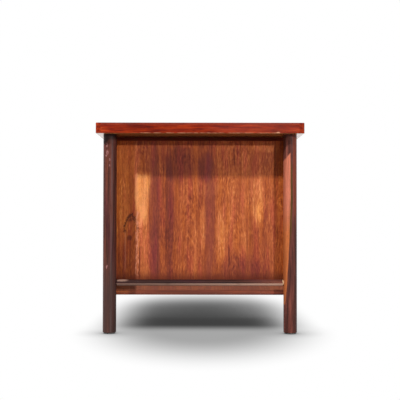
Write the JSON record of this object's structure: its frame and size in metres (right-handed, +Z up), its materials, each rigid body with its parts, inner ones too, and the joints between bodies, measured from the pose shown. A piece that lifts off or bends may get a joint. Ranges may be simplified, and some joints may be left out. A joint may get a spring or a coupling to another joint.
{
  "type": "executive desk",
  "caption": "Rosewood executive desk: thick lipped top on round turned legs, a thin stretcher low at each end, and hung pedestals with dovetailed drawers that slide out.",
  "frame": {"origin": "on the floor under the middle of the top", "axes": "+X along the desk to the user's right, +Y from the user to the visitor, +Z up"},
  "size_m": [1.8, 0.74, 0.75],
  "materials": {
    "top_rosewood": "satin lacquer, red-brown, grain along each board",
    "panel_rosewood": "satin lacquered veneer, orange-brown with dark streaks",
    "turned_rosewood": "polished solid wood, dark brown",
    "drawer_hardwood": "pale hardwood, waxed",
    "drawer_plywood": "thin plywood, sealed",
    "dark_batten": "stained red-brown, matt",
    "glide_steel": "plain steel"
  },
  "bodies": {
    "desk_frame": {"left_back_panel": "panel_rosewood", "left_base_board": "panel_rosewood", "left_battens": "dark_batten", "left_cap_board": "panel_rosewood", "left_inner_side": "panel_rosewood", "left_outer_side": "panel_rosewood", "left_runners": "drawer_hardwood", "leg_glides": "glide_steel", "leg_spacers": "turned_rosewood", "leg_user_left": "turned_rosewood", "leg_user_right": "turned_rosewood", "leg_visitor_left": "turned_rosewood", "leg_visitor_right": "turned_rosewood", "modesty_cleats": "dark_batten", "modesty_panel": "panel_rosewood", "right_back_panel": "panel_rosewood", "right_base_board": "panel_rosewood", "right_battens": "dark_batten", "right_cap_board": "panel_rosewood", "right_inner_side": "panel_rosewood", "right_outer_side": "panel_rosewood", "right_runners": "drawer_hardwood", "stretcher_left": "turned_rosewood", "stretcher_right": "turned_rosewood", "top_lipping_left": "top_rosewood", "top_lipping_right": "top_rosewood", "top_lipping_user": "top_rosewood", "top_lipping_visitor": "top_rosewood", "top_panel": "top_rosewood"},
    "left_upper_drawer": {"left_upper_drawer_back": "drawer_hardwood", "left_upper_drawer_bottom": "drawer_plywood", "left_upper_drawer_front": "panel_rosewood", "left_upper_drawer_pull": "turned_rosewood", "left_upper_drawer_sides": "drawer_hardwood"},
    "left_middle_drawer": {"left_middle_drawer_back": "drawer_hardwood", "left_middle_drawer_bottom": "drawer_plywood", "left_middle_drawer_front": "panel_rosewood", "left_middle_drawer_pull": "turned_rosewood", "left_middle_drawer_sides": "drawer_hardwood"},
    "left_lower_drawer": {"left_lower_drawer_back": "drawer_hardwood", "left_lower_drawer_bottom": "drawer_plywood", "left_lower_drawer_front": "panel_rosewood", "left_lower_drawer_pull": "turned_rosewood", "left_lower_drawer_sides": "drawer_hardwood"},
    "right_upper_drawer": {"right_upper_drawer_back": "drawer_hardwood", "right_upper_drawer_bottom": "drawer_plywood", "right_upper_drawer_front": "panel_rosewood", "right_upper_drawer_pull": "turned_rosewood", "right_upper_drawer_sides": "drawer_hardwood"},
    "right_file_drawer": {"right_file_drawer_back": "drawer_hardwood", "right_file_drawer_bottom": "drawer_plywood", "right_file_drawer_front": "panel_rosewood", "right_file_drawer_pull": "turned_rosewood", "right_file_drawer_sides": "drawer_hardwood"}
  },
  "joints": [
    {"name": "left_upper_drawer_slide", "type": "slide", "parent": "desk_frame", "child": "left_upper_drawer", "axis": [0, -1, 0], "range_m": [0, 0.45]},
    {"name": "left_middle_drawer_slide", "type": "slide", "parent": "desk_frame", "child": "left_middle_drawer", "axis": [0, -1, 0], "range_m": [0, 0.45]},
    {"name": "left_lower_drawer_slide", "type": "slide", "parent": "desk_frame", "child": "left_lower_drawer", "axis": [0, -1, 0], "range_m": [0, 0.45]},
    {"name": "right_upper_drawer_slide", "type": "slide", "parent": "desk_frame", "child": "right_upper_drawer", "axis": [0, -1, 0], "range_m": [0, 0.45]},
    {"name": "right_file_drawer_slide", "type": "slide", "parent": "desk_frame", "child": "right_file_drawer", "axis": [0, -1, 0], "range_m": [0, 0.45]}
  ]
}
